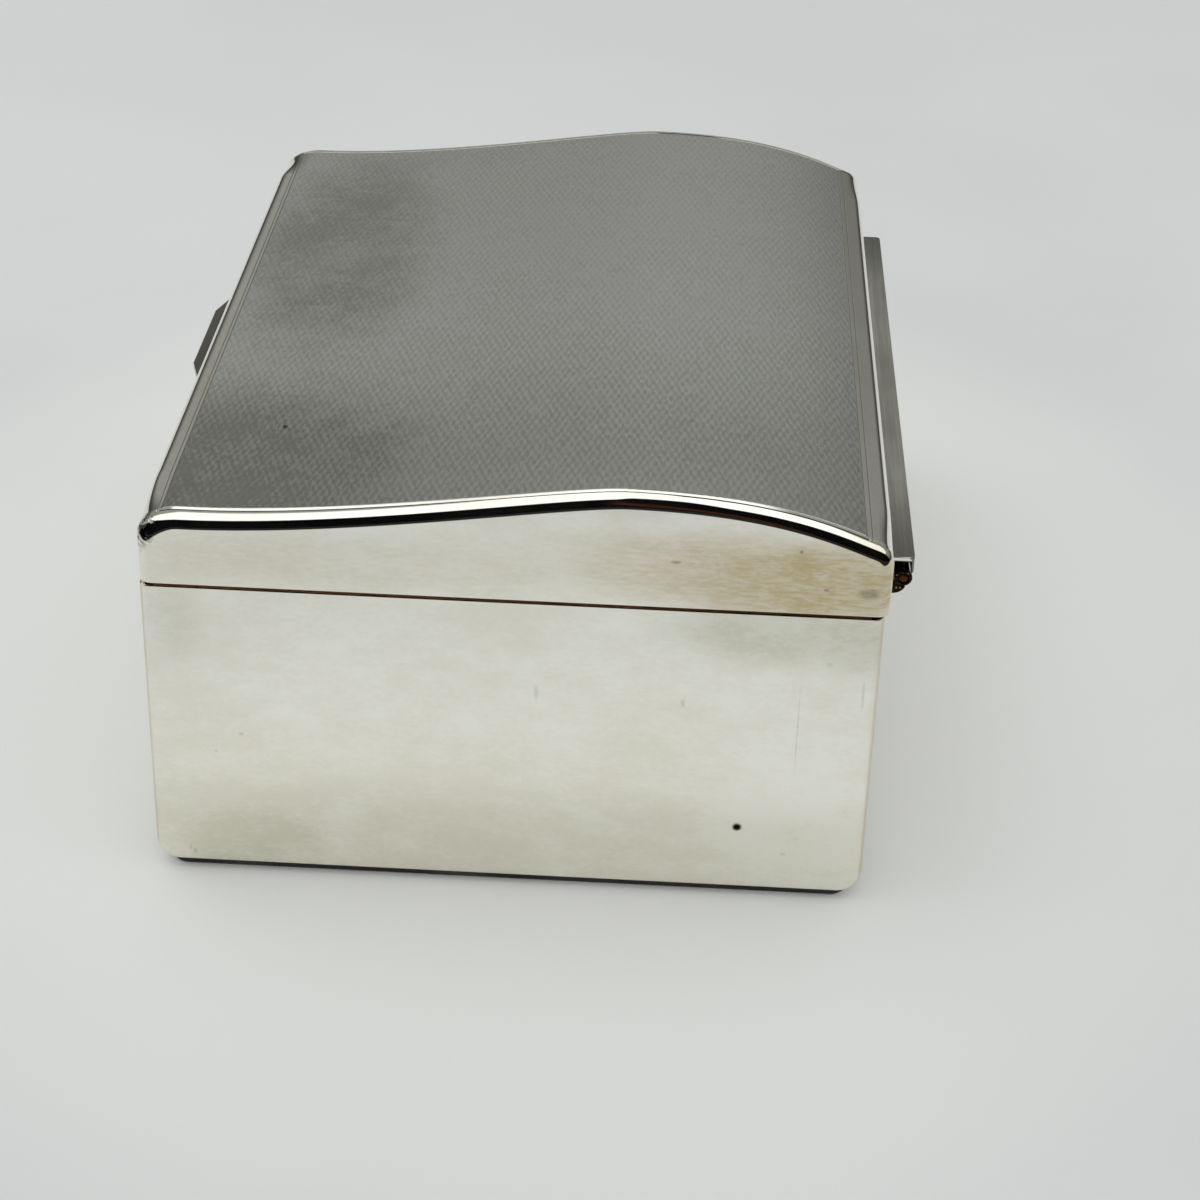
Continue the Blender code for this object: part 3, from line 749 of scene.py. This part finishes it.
# Lid
# A silver sheet shaped to a long wave, with two soldered gables and edges filed round, lower
# at the front corners. The top is engine turned inside two engraved lines, and outside them
# it is left plain and worn to a slope.
crest_setback = 0.0127
crest_rise = 0.0135
back_slope = math.radians(21)
middle_form = {
    "rises": (0.00835, 0.00828),
    "radii": (0.0016, 0.0016),
    "front_drop": 0.0016,
    "handles": (0.423, 0.133, 0.58, 0.184),
}
end_form = {
    "rises": (0.00845, 0.0085),
    "radii": (0.0048, 0.0025),
    "front_drop": 0.0026,
    "handles": (0.385, 0.142, 0.592, 0.165),
}
end_form_start = 0.0455
end_form_full = 0.054
end_form_steps = 12
fine_steps = 300
upright_steps = 4
roll_steps = 18
wave_steps = 196
seam_gap = 0.0003
lid_end_radius = 0.0014
corner_drop = 0.0006
corner_drop_reach = (0.0045, 0.0012)
corner_drop_height = 0.003
line_width = 0.00015
line_depth = 0.00005
line_from_end = (0.00175, 0.00233)
line_slant = 0.0125
slant_end = 0.02
line_from_front = (0.0021, 0.0025)
line_from_back = (0.0025, 0.0031)
line_clearance = 0.00012
near = 0.000002
worn_slope = math.tan(math.radians(7.5))
top_above_seam = 0.003
top_least_up = 0.05

low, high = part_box("lid_shell")
seam = low.z - seam_gap / 2


def lid_outline(name, steps, rises, radii, front_drop, handles):
    """A wire along the lid's section: upright front, roll, wave, roll, upright back."""
    sine, cosine = math.sin(back_slope), math.cos(back_slope)
    level, up, slope = Vector((1, 0)), Vector((0, 1)), Vector((cosine, -sine))
    roll_start = Vector((low.y, seam + rises[0] - front_drop))
    start = roll_start + radii[0] * level + front_drop * up
    crest = Vector((crest_setback, seam + crest_rise))
    back_centre = Vector((high.y - radii[1], seam + rises[1] - radii[1] * cosine))
    shoulder = back_centre + radii[1] * Vector((sine, cosine))
    roll_end = back_centre + radii[1] * level
    quarter_round = 4 / 3 * math.tan(math.pi / 8)
    back_reach = radii[1] * 4 / 3 * math.tan((math.pi / 2 - back_slope) / 4)
    climb = level * (crest.x - start.x)
    fall = shoulder.x - crest.x
    front_foot, back_foot = Vector((low.y, low.z)), Vector((high.y, low.z))
    knots = (
        (front_foot, front_foot, front_foot.lerp(roll_start, 1 / 3)),
        (roll_start, roll_start.lerp(front_foot, 1 / 3), roll_start + up * front_drop * quarter_round),
        (start, start - level * radii[0] * quarter_round, start + climb * handles[0]),
        (crest, crest - climb * handles[1], crest + level * fall * handles[2]),
        (shoulder, shoulder - slope * fall * handles[3], shoulder + slope * back_reach),
        (roll_end, roll_end + up * back_reach, roll_end.lerp(back_foot, 1 / 3)),
        (back_foot, back_foot.lerp(roll_end, 1 / 3), back_foot),
    )
    bpy.ops.object.select_all(action="DESELECT")
    bpy.ops.curve.primitive_bezier_curve_add(location=(0, 0, 0))
    wire = bpy.context.object
    wire.name = name
    wire.data.resolution_u = steps
    wave = wire.data.splines[0].bezier_points
    wave.add(len(knots) - len(wave))
    for knot, (place, before, after) in zip(wave, knots):
        knot.handle_left_type = knot.handle_right_type = "FREE"
        knot.co = (low.x, *place)
        knot.handle_left = (low.x, *before)
        knot.handle_right = (low.x, *after)
    bpy.ops.object.convert(target="MESH")
    return wire


def level_at(places, y):
    """The height of an outline at a place across the lid."""
    for before, after in zip(places, places[1:]):
        if before.x <= y <= after.x and after.x > before.x:
            return before.y + (after.y - before.y) * (y - before.x) / (after.x - before.x)
    return places[-1].y


def spread(places, count):
    """Places spaced evenly along an outline, both its ends included."""
    runs = [(after - before).length for before, after in zip(places, places[1:])]
    spaced = []
    for step in range(count + 1):
        left = sum(runs) * min(step / count, 0.999999)
        number = 0
        while left > runs[number]:
            left -= runs[number]
            number += 1
        spaced.append(places[number].lerp(places[number + 1], left / runs[number]))
    return spaced


outlines = []
for form in (middle_form, end_form):
    wire = lid_outline("fine_wire", fine_steps, **form)
    outlines.append([vert.co.yz for vert in wire.data.vertices])
    bpy.data.objects.remove(wire, do_unlink=True)
middle_fine, end_fine = outlines
start, shoulder = middle_fine[2 * fine_steps], middle_fine[4 * fine_steps]
places = spread(middle_fine[:fine_steps + 1], upright_steps)[:-1]
places += spread(middle_fine[fine_steps:2 * fine_steps + 1], roll_steps)[:-1]
wave_places = spread(middle_fine[2 * fine_steps:4 * fine_steps + 1], wave_steps)[:-1]
places += wave_places + spread(middle_fine[4 * fine_steps:5 * fine_steps + 1], roll_steps)[:-1]
places += spread(middle_fine[5 * fine_steps:], upright_steps)
front_rolled = [place for place in end_fine[fine_steps:] if place.x < start.x]
front_rolled.append(Vector((start.x, level_at(end_fine, start.x))))
back_rolled = [place for place in end_fine[:5 * fine_steps + 1] if place.x > shoulder.x]
back_rolled.insert(0, Vector((shoulder.x, level_at(end_fine, shoulder.x))))
matched = spread(end_fine[:fine_steps + 1], upright_steps)[:-1] + spread(front_rolled, roll_steps)[:-1]
matched += [Vector((place.x, level_at(end_fine, place.x))) for place in wave_places]
matched += spread(back_rolled, roll_steps)[:-1] + spread(end_fine[5 * fine_steps:], upright_steps)
end_place_of = {(round(place.x, 6), round(place.y, 6)): match for place, match in zip(places, matched)}
lid = lid_outline("lid_cover", (len(places) - 1) // 6, **middle_form)
for vert, place in zip(lid.data.vertices, places):
    vert.co.yz = place

line_ends = [high.x - distance for distance in line_from_end]
line_fronts = [low.y + distance for distance in line_from_front]
line_backs = [high.y - distance for distance in line_from_back]
half = line_width / 2
run = end_form_full - end_form_start
stations = [end_form_start + run * step / end_form_steps for step in range(end_form_steps + 1)]
stations += [x + offset for x in line_ends for offset in (-half, 0, half)]
line_sides = [y + offset for y in line_fronts + line_backs for offset in (-half, 0, half)]


def crowds_line(edge):
    """Whether an edge along the box lies beside an engraved line's cuts, too close to one."""
    away = min(abs(edge.verts[0].co.y - y) for y in line_sides)
    return runs_along(edge, 0) and near < away < line_clearance


pick(lid, "EDGE", lambda edge: True)
bpy.ops.mesh.extrude_region_move(TRANSFORM_OT_translate={"value": (high.x - low.x, 0, 0)})
for y in line_sides:
    bpy.ops.mesh.select_all(action="SELECT")
    bpy.ops.mesh.bisect(plane_co=(0, y, 0), plane_no=(0, 1, 0), threshold=near)
pick(lid, "EDGE", crowds_line)
bpy.ops.mesh.dissolve_edges(use_verts=True)
for x in stations:
    for side in (-1, 1):
        bpy.ops.mesh.select_all(action="SELECT")
        bpy.ops.mesh.bisect(plane_co=(side * x, 0, 0), plane_no=(1, 0, 0), threshold=near)
bpy.ops.object.mode_set(mode="OBJECT")
for vert in lid.data.vertices:
    share = min(1, max(0, (abs(vert.co.x) - end_form_start) / run))
    key = (round(vert.co.y, 6), round(vert.co.z, 6))
    if key not in end_place_of:
        end_place_of[key] = Vector((vert.co.y, level_at(end_fine, vert.co.y)))
    vert.co.yz = vert.co.yz.lerp(end_place_of[key], share * share * (3 - 2 * share))
end = high.x - hair
for side in (-1, 1):
    pick(lid, "EDGE", lambda edge: all(vert.co.x * side > end for vert in edge.verts))
    bpy.ops.mesh.edge_face_add()
pick(lid, "FACE", lambda face: True)
bpy.ops.mesh.normals_make_consistent(inside=False)
pick(lid, "EDGE", lambda edge: rings_end(edge, end))
round_picked(lid_end_radius, 10)
bpy.ops.object.mode_set(mode="OBJECT")
for vert in lid.data.vertices:
    outward = max(0, abs(vert.co.x) - high.x + lid_end_radius) / lid_end_radius
    forward = (corner_drop_reach[0] - vert.co.y + low.y) / (corner_drop_reach[0] - corner_drop_reach[1])
    forward = min(1, max(0, forward))
    upward = min(1, max(0, (vert.co.z - seam) / corner_drop_height - 1))
    vert.co.z -= corner_drop * outward * forward * forward * (3 - 2 * forward) * upward
apply_modifier(lid, "SOLIDIFY", thickness=sheet_thickness, offset=-1)
rim = low.z + hair
pick(lid, "EDGE", lambda edge: all(v.co.z < rim for v in edge.verts) and is_sharp(edge))
round_picked(rim_radius, 2)
bpy.ops.object.mode_set(mode="OBJECT")

outer_verts = [vert for vert in lid.data.vertices if vert.co.z > seam + top_above_seam]
outer_verts = [vert for vert in outer_verts if vert.normal.z > top_least_up]
facing_up = [vert.normal.z for vert in outer_verts]
worn_start = line_ends[1] + half
grooved = []
for vert in outer_verts:
    x, y = abs(vert.co.x), vert.co.y
    for line_x, front_y, back_y in zip(line_ends, line_fronts, line_backs):
        on_end = abs(x - line_x) < near and front_y - near < y < back_y + near
        on_side = min(abs(y - front_y), abs(y - back_y)) < near and x < line_x + near
        if on_end or on_side:
            grooved.append((vert, vert.co - vert.normal * line_depth))
engraved = lid.data.attributes.new("engraved", "FLOAT", "POINT")
for vert, place in grooved:
    vert.co = place
    engraved.data[vert.index].value = 1
for vert, up in zip(outer_verts, facing_up):
    vert.co.z -= max(0, worn_slope * (abs(vert.co.x) - worn_start)) * up ** 2
field = lid.data.attributes.new("engine_turned", "FLOAT", "POINT")
for vert in outer_verts:
    across = line_fronts[1] + half - near < vert.co.y < line_backs[1] - half + near
    if across and abs(vert.co.x) < line_ends[1] - half + near:
        field.data[vert.index].value = 1
for vert in outer_verts:
    if end_form_full + near < vert.co.x < high.x - lid_end_radius - near:
        vert.co.x += line_slant * min(vert.co.y, slant_end)

tick_length = 0.0026
tick_width = 0.00087
tick_grain = (0.5, 1.8, 1)
tick_wear_size = 1900
tick_wear = 5
tick_edge = (1.65, 3.55)
tick_shade = 0.3
tick_height = 0.2
worn_flat = (-0.03, 0.035)
worn_least = 0.65
turned_roughness = 0.16
turning_bright = (0.865, 0.87, 0.83, 1)
turning_dark = (0.38, 0.38, 0.33, 1)
line_dark = (0.24, 0.23, 0.20, 1)
lid_near = (0.005, 0.05)
lid_near_shade = 0.4
lid_uneven = 0.08
cloud_shade = 0.55
lid_speck_dark = (0.0345, -0.028, 0.0468)
lid_speck_size = (0.0006, 0.0004, 0.002)
crinkled_corner = ((0.0568, -0.0408, 0.0452), (0.0030, 0.0022, 0.0036))
crinkle_size = 2300
crinkle_edge = (0.42, 0.58)
crinkle_dark = 0.8
crinkle_height = 0.5
lid_clouds = (
    ((0.048, -0.030, 0.047), (0.034, 0.026, 0.02)),
    ((0.055, -0.036, 0.047), (0.016, 0.012, 0.02)),
    ((-0.020, -0.029, 0.047), (0.046, 0.017, 0.02)),
    ((-0.004, -0.028, 0.047), (0.022, 0.015, 0.02)),
)
gable_stains = (
    ((0.0572, 0.018, 0.0432), (0.004, 0.034, 0.0062)),
    ((0.0572, 0.032, 0.0420), (0.004, 0.024, 0.0075)),
    ((0.0572, -0.015, 0.0422), (0.004, 0.040, 0.0048)),
)
gable_drift = (0.002, 0.036)
gable_drift_share = (0.26, 1.12)
gable_brushing = (0.15, 0.15, 1)
gable_streak_size = 2800
gable_mark_share = 0.5
gable_marks = (
    ((0.0572, 0.0392, 0.0411), (0.004, 0.0016, 0.0010)),
    ((0.0572, 0.0345, 0.0414), (0.004, 0.0004, 0.0003)),
    ((0.0572, 0.0315, 0.0460), (0.004, 0.0003, 0.0003)),
    ((0.0572, 0.0180, 0.0440), (0.004, 0.0008, 0.0003)),
)

lid_silver, tree, shader, place = new_material("engine_turned_silver")
turned_field = add_node(tree, "ShaderNodeAttribute", attribute_name="engine_turned").outputs["Fac"]
engraved_line = add_node(tree, "ShaderNodeAttribute", attribute_name="engraved").outputs["Fac"]
split = split_axes(tree, place)
swing = calculate(tree, "SINE", calculate(tree, "MULTIPLY", split["X"], 2 * math.pi / tick_length))
rows = calculate(tree, "COSINE", calculate(tree, "MULTIPLY", split["Y"], 2 * math.pi / tick_width))
ticks = calculate(tree, "MULTIPLY", rows, swing)
worn = noise(tree, change_place(tree, "MULTIPLY", place, tick_grain), tick_wear_size, 3, 0.6)
ticks = fade(tree, calculate(tree, "MULTIPLY_ADD", worn, tick_wear, ticks), *tick_edge)
ticks = calculate(tree, "MULTIPLY", ticks, fade(tree, split["X"], *worn_flat, worn_least, 1))
ticks = calculate(tree, "MULTIPLY", ticks, turned_field)

wear = add_group(tree, worn_silver, {"Position": place, "Polish Direction": rubbed_along})
polished = blend_colours(tree, wear["Bloom"], silver_clean, silver_bloom)
brushed = change_place(tree, "MULTIPLY", place, gable_brushing)
streaks = fade(tree, noise(tree, brushed, gable_streak_size, 4, 0.6), 0.3, 0.7, 0, 0.5)
streaks = calculate(tree, "MULTIPLY_ADD", wear["Bloom"], 0.5, streaks)
drift = fade(tree, split["Y"], *gable_drift, *gable_drift_share)
tan = calculate(tree, "MULTIPLY", stained_by(tree, place, gable_stains, streaks, 0.55), drift)
polished = blend_colours(tree, tan, polished, silver_tan)

cloudy = stained_by(tree, place, lid_clouds, wear["Bloom"])
near_shade = fade(tree, split["X"], *lid_near, 0, lid_near_shade)
near_shade = calculate(tree, "ADD", near_shade, fade(tree, wear["Bloom"], 0, 1, -lid_uneven, lid_uneven))
shade = calculate(tree, "MULTIPLY_ADD", cloudy, cloud_shade, near_shade)
shade = calculate(tree, "MULTIPLY_ADD", ticks, tick_shade, shade)
shade = calculate(tree, "MINIMUM", calculate(tree, "MAXIMUM", shade, 0), 1)
patterned = blend_colours(tree, shade, turning_bright, turning_dark)
surface = blend_colours(tree, turned_field, polished, patterned)
surface = blend_colours(tree, engraved_line, surface, line_dark)

speck = add_group(tree, patch, {"Position": place, "Centre": lid_speck_dark, "Size": lid_speck_size})["Mask"]
marks = stained_by(tree, place, gable_marks, wear["Bloom"])
speck = calculate(tree, "MAXIMUM", speck, calculate(tree, "MULTIPLY", marks, gable_mark_share))
crinkled = fade(tree, noise(tree, place, crinkle_size), *crinkle_edge)
crinkled = calculate(tree, "MULTIPLY", crinkled, stained_by(tree, place, (crinkled_corner,), 1))
speck = calculate(tree, "MAXIMUM", speck, calculate(tree, "MULTIPLY", crinkled, crinkle_dark))
rough = calculate(tree, "MULTIPLY_ADD", turned_field, turned_roughness, wear["Roughness"])
paint(tree, shader, blend_colours(tree, speck, surface, silver_pit), rough, metal=1)
height = calculate(tree, "MULTIPLY_ADD", ticks, -tick_height, wear["Height"])
height = calculate(tree, "MULTIPLY_ADD", crinkled, -crinkle_height, height)
raise_surface(tree, shader, height, *polish_rise)
finish_piece(lid, lid_silver, "lid", "lid_silver", "lid_shell", smooth=25)


# Hinge plate
# A silver strip soldered to the lid's back, over the knuckles, with its outer edge turned
# down as a lip and its outer corners rounded. It is duller than the lid, darker towards its
# ends, with painted shade along its joint and on its end faces, and a painted highlight
# along the top of each end face.
plate_lip = 0.0003
plate_thickness = 0.0006
plate_corner = 0.0006
plate_edge = 0.00008

low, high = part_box("lid_hinge_plate")
plate = add_block("hinge_cover_plate", (low.x, low.y, high.z - plate_thickness), high)
pick(plate, "FACE", lambda face: face.normal.z < -0.9)
bpy.ops.mesh.bisect(plane_co=(0, high.y - plate_lip, 0), plane_no=(0, 1, 0))
pick(plate, "FACE", lambda f: f.normal.z < -0.9 and f.calc_center_median().y > high.y - plate_lip)
bpy.ops.mesh.extrude_region_move(TRANSFORM_OT_translate={"value": (0, 0, low.z - high.z + plate_thickness)})
pick(plate, "EDGE", lambda edge: runs_along(edge, 2) and all(v.co.y > high.y - hair for v in edge.verts))
round_picked(plate_corner, 6)
pick(plate, "EDGE", lambda edge: is_sharp(edge) and all(v.co.z > high.z - hair for v in edge.verts))
round_picked(plate_edge, 2)
finish_piece(plate, plate_silver, "lid", "silver", "lid_hinge_plate")


# Thumb piece
# A half-octagon tab of thicker silver, soldered edge-on to the lid's front, with its edges
# just eased. Fingers have kept it dull and brown.
thumb_edge_share = 0.492
thumb_radius = 0.00018
thumb_steel = (0.23, 0.21, 0.18, 1)
thumb_brown = (0.13, 0.115, 0.09, 1)
thumb_roughness = 0.15

thumb_silver, tree, shader, place = new_material("thumb_silver")
wear = add_group(tree, worn_silver, {"Position": place, "Polish Direction": hinge_drawn_along})
browned = blend_colours(tree, wear["Bloom"], thumb_steel, thumb_brown)
paint(tree, shader, browned, calculate(tree, "ADD", wear["Roughness"], thumb_roughness), metal=1)

low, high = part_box("thumb_piece")
thumb = add_block("thumb_tab", low, high)
pick(thumb, "FACE", lambda face: face.normal.y < -0.9)
bpy.ops.transform.resize(value=(thumb_edge_share, 1, 1))
pick(thumb, "EDGE", lambda edge: True)
round_picked(thumb_radius, 3)
finish_piece(thumb, thumb_silver, "lid", "silver", "thumb_piece")
